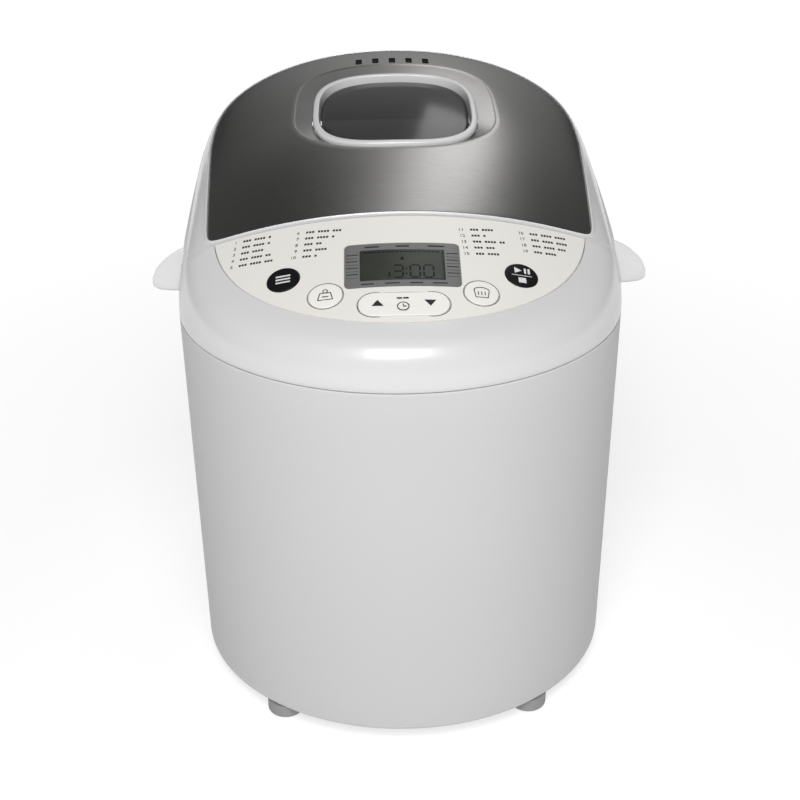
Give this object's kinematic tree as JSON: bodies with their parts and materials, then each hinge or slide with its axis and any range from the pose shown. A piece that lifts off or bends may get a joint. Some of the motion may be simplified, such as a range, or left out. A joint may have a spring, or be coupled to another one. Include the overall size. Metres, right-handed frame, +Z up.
{
  "type": "bread machine",
  "caption": "Countertop bread machine: oval-nosed casing, sloping key panel with display, hinged steel lid with window, lift-out pan, kneading paddle and belt drive.",
  "frame": {"origin": "on the floor under the middle of the machine's footprint", "axes": "+Z up, the control panel faces -Y, +X is the machine's right as seen from the front"},
  "size_m": [0.259, 0.32, 0.2923],
  "materials": {
    "base_plastic": "fine matt moulded",
    "rubber": "soft matt grey",
    "screw_steel": "bright zinc",
    "pearl_casing": "pearl white, semi-gloss",
    "white_gloss": "pearl white, gloss",
    "cream_overlay": "satin film",
    "display_bezel": "printed grey border behind clear film",
    "lcd": "dark grey-green liquid crystal",
    "circuit_board": "solder-masked board",
    "black_plastic": "satin",
    "black_key": "satin black",
    "cream_key": "satin, printed outline",
    "brushed_steel": "grained across the width",
    "window_glass": "smoked, polished",
    "inner_glass": "clear, polished",
    "liner_steel": "plain mill finish",
    "silicone": "soft matt",
    "zinc_steel": "zinc plated",
    "oven_steel": "aluminised sheet",
    "element": "oxidised sheath",
    "nonstick": "speckled non-stick coating",
    "cast_aluminium": "die cast",
    "bail_wire": "polished wire",
    "bronze": "sintered bronze",
    "black_rubber": "matt",
    "pulley_plastic": "glass-filled nylon",
    "motor_steel": "pressed steel"
  },
  "bodies": {
    "base": {"base_pan": "base_plastic", "rubber_feet": "rubber", "base_screws": "screw_steel", "front_casing": "pearl_casing", "rear_casing": "pearl_casing", "top_housing": "white_gloss", "deck_frame": "white_gloss", "control_fascia": "white_gloss", "control_overlay": "cream_overlay", "display_lens": "display_bezel", "display_module": "lcd", "control_board": "circuit_board", "key_switches": "black_plastic", "hinge_pins": "screw_steel", "hinge_brackets": "white_gloss", "oven_chamber": "oven_steel", "heating_element": "element", "element_clamps": "zinc_steel", "temperature_sensor": "zinc_steel", "thermal_fuse": "black_plastic", "pan_socket": "zinc_steel", "shaft_bushes": "bronze", "bearing_housing": "cast_aluminium", "drive_frame": "zinc_steel", "drive_belt": "black_rubber", "motor_body": "motor_steel", "motor_bracket": "zinc_steel", "motor_screws": "screw_steel", "power_board": "circuit_board", "cord_inlet": "black_rubber"},
    "lid": {"left_lift_tab": "white_gloss", "right_lift_tab": "white_gloss", "lid_frame": "white_gloss", "lid_cover": "brushed_steel", "window_ring": "white_gloss", "window_glass": "window_glass", "lid_liner": "liner_steel", "inner_glass": "inner_glass", "lid_gasket": "silicone", "lid_screws": "screw_steel", "hinge_arms": "zinc_steel"},
    "pan": {"bread_pan": "nonstick", "pan_base_ring": "cast_aluminium", "bail_rivets": "screw_steel", "pan_bush": "bronze", "shaft_seal": "black_rubber"},
    "bail": {"pan_bail": "bail_wire"},
    "paddle": {"pan_shaft": "screw_steel", "kneading_paddle": "nonstick", "pan_coupler": "cast_aluminium"},
    "drive": {"drive_coupler": "cast_aluminium", "drive_shaft": "screw_steel", "large_pulley": "pulley_plastic"},
    "motor": {"motor_rotor": "motor_steel", "motor_pulley": "pulley_plastic"},
    "menu_button": {"menu_button": "black_key"},
    "weight_button": {"weight_button": "cream_key"},
    "time_rocker": {"time_rocker": "cream_key"},
    "colour_button": {"colour_button": "cream_key"},
    "start_stop_button": {"start_stop_button": "black_key"}
  },
  "joints": [
    {"name": "lid_hinge", "type": "hinge", "parent": "base", "child": "lid", "pos_m": [0, 0.152, 0.238], "axis": [-1, 0, 0], "range_deg": [0, 75]},
    {"name": "pan_twist", "type": "hinge", "parent": "base", "child": "pan", "pos_m": [0, 0.04, 0.047], "axis": [0, 0, 1], "range_deg": [0, 12]},
    {"name": "bail_hinge", "type": "hinge", "parent": "pan", "child": "bail", "pos_m": [0, 0.04, 0.168], "axis": [1, 0, 0], "range_deg": [0, 140]},
    {"name": "motor_spin", "type": "hinge", "parent": "base", "child": "motor", "pos_m": [0, -0.1, 0.06], "axis": [0, 0, 1], "continuous": true},
    {"name": "drive_spin", "type": "hinge", "parent": "base", "child": "drive", "pos_m": [0, 0.04, 0.03], "axis": [0, 0, 1], "continuous": true},
    {"name": "paddle_spin", "type": "hinge", "parent": "pan", "child": "paddle", "pos_m": [0, 0.04, 0.08], "axis": [0, 0, 1], "continuous": true},
    {"name": "menu_button_press", "type": "slide", "parent": "base", "child": "menu_button", "axis": [0.2164, 0.3307, -0.9186], "range_m": [0, 0.0006], "stiffness_N_per_m": 1500, "springref_m": -0.0003},
    {"name": "weight_button_press", "type": "slide", "parent": "base", "child": "weight_button", "axis": [0.1392, 0.3354, -0.9317], "range_m": [0, 0.0006], "stiffness_N_per_m": 1500, "springref_m": -0.0003},
    {"name": "colour_button_press", "type": "slide", "parent": "base", "child": "colour_button", "axis": [-0.1392, 0.3354, -0.9317], "range_m": [0, 0.0006], "stiffness_N_per_m": 1500, "springref_m": -0.0003},
    {"name": "start_stop_button_press", "type": "slide", "parent": "base", "child": "start_stop_button", "axis": [-0.2164, 0.3307, -0.9186], "range_m": [0, 0.0006], "stiffness_N_per_m": 1500, "springref_m": -0.0003},
    {"name": "time_rocker_tilt", "type": "hinge", "parent": "base", "child": "time_rocker", "pos_m": [0, -0.12673, 0.23449], "axis": [0, 0.9409, 0.3387], "range_deg": [-1.8, 1.8], "stiffness_Nm_per_rad": 0.35}
  ],
  "couplings": [
    {"joint": "drive_spin", "follows": "motor_spin", "ratio": 0.2208},
    {"joint": "paddle_spin", "follows": "motor_spin", "ratio": 0.2208}
  ]
}
